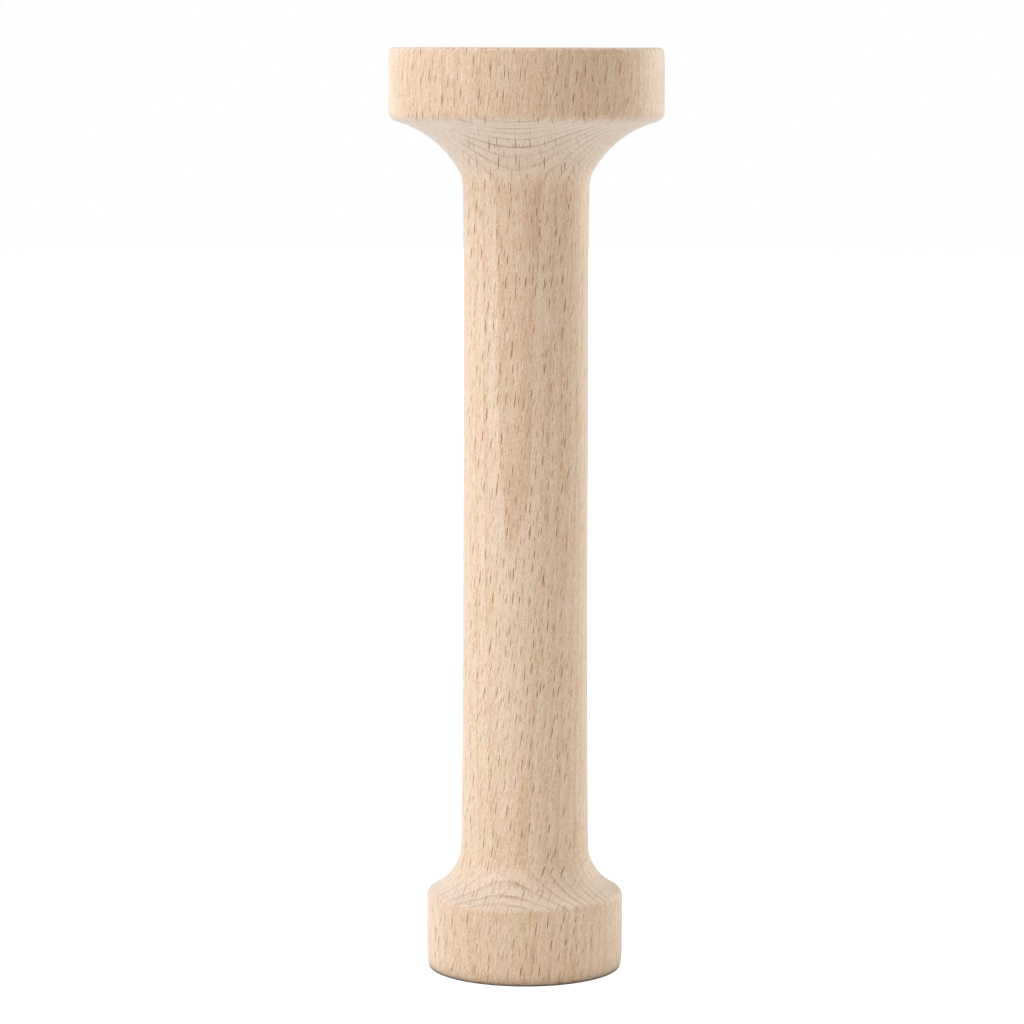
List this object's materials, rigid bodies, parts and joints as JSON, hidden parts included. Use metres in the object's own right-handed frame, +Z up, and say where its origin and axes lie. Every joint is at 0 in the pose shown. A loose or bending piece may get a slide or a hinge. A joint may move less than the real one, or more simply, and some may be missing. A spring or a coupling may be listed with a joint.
{
  "type": "meat mallet",
  "caption": "Double-ended pounder turned from one piece of beech: broad flat head, straight waisted grip and a smaller flat foot, for flattening and tamping meat.",
  "frame": {"origin": "centre of the foot's flat face, on the turning axis, at the surface that the mallet stands on", "axes": "+Z up along the turning axis from the foot to the head; X and Y are alike, because the shape is a full turn about Z"},
  "size_m": [0.0592, 0.0592, 0.2],
  "materials": {
    "beech": "pale steamed beech, turned and fine-sanded, unvarnished and matt"
  },
  "bodies": {
    "root": {"turned_body": "beech"}
  },
  "joints": []
}
